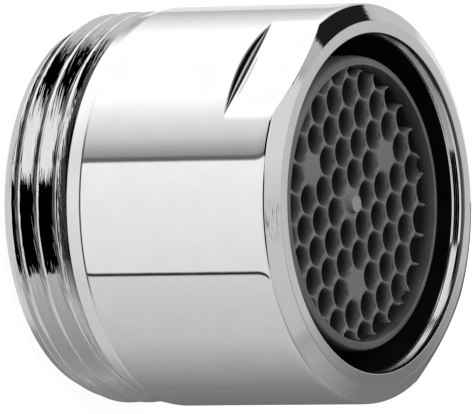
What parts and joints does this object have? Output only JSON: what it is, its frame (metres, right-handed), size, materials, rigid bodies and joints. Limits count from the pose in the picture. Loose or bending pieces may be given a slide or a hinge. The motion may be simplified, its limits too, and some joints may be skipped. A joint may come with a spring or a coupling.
{
  "type": "tap aerator",
  "caption": "Round chromed tap aerator with a male thread, wrench flats and a recessed black honeycomb outlet, which mixes air into the water and straightens the stream.",
  "frame": {"origin": "centre of the sealing face, where the rubber washer meets the spout, on the aerator's axis", "axes": "+Z along the axis from the threaded inlet to the outlet, +X through the middle of a wrench flat"},
  "size_m": [0.0182, 0.0182, 0.015],
  "materials": {
    "chromed_brass": "polished chrome plate on brass",
    "black_plastic": "satin moulded black",
    "pale_plastic": "satin moulded natural white",
    "washer_rubber": "smooth moulded rubber"
  },
  "bodies": {
    "root": {"housing": "chromed_brass", "outlet_honeycomb": "black_plastic", "cartridge_sleeve": "black_plastic", "jet_plate": "black_plastic", "strainer_dome": "pale_plastic", "sealing_washer": "washer_rubber"}
  },
  "joints": []
}
